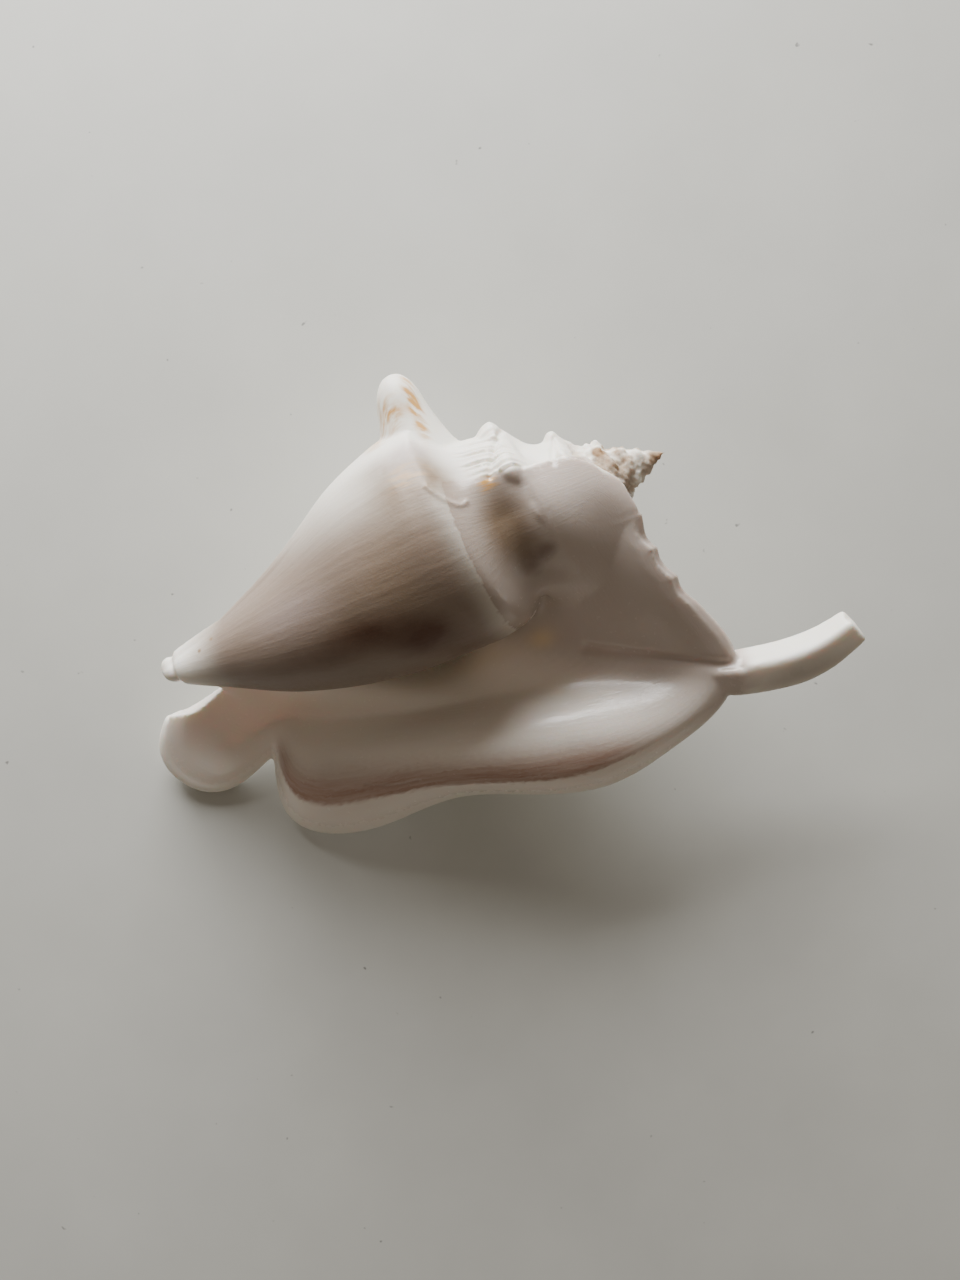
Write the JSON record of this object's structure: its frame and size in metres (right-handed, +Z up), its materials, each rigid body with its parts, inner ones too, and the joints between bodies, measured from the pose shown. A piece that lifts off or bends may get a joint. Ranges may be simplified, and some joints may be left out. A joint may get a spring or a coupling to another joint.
{
  "type": "conch shell",
  "caption": "Large spired sea snail shell lying on its back, with a flared outer lip, a long narrow aperture, blunt shoulder knobs and a finger-like tail.",
  "frame": {"origin": "centre of the bounding box, on the surface that the shell lies on", "axes": "+Z up, out of the aperture; +X along the length, towards the spire and the tail; the outer lip is on the -Y side"},
  "size_m": [0.1656, 0.109, 0.0598],
  "materials": {
    "shell": "satin, chalky on the spire and glossy on the lip"
  },
  "bodies": {
    "root": {"conch_shell": "shell"}
  },
  "joints": []
}
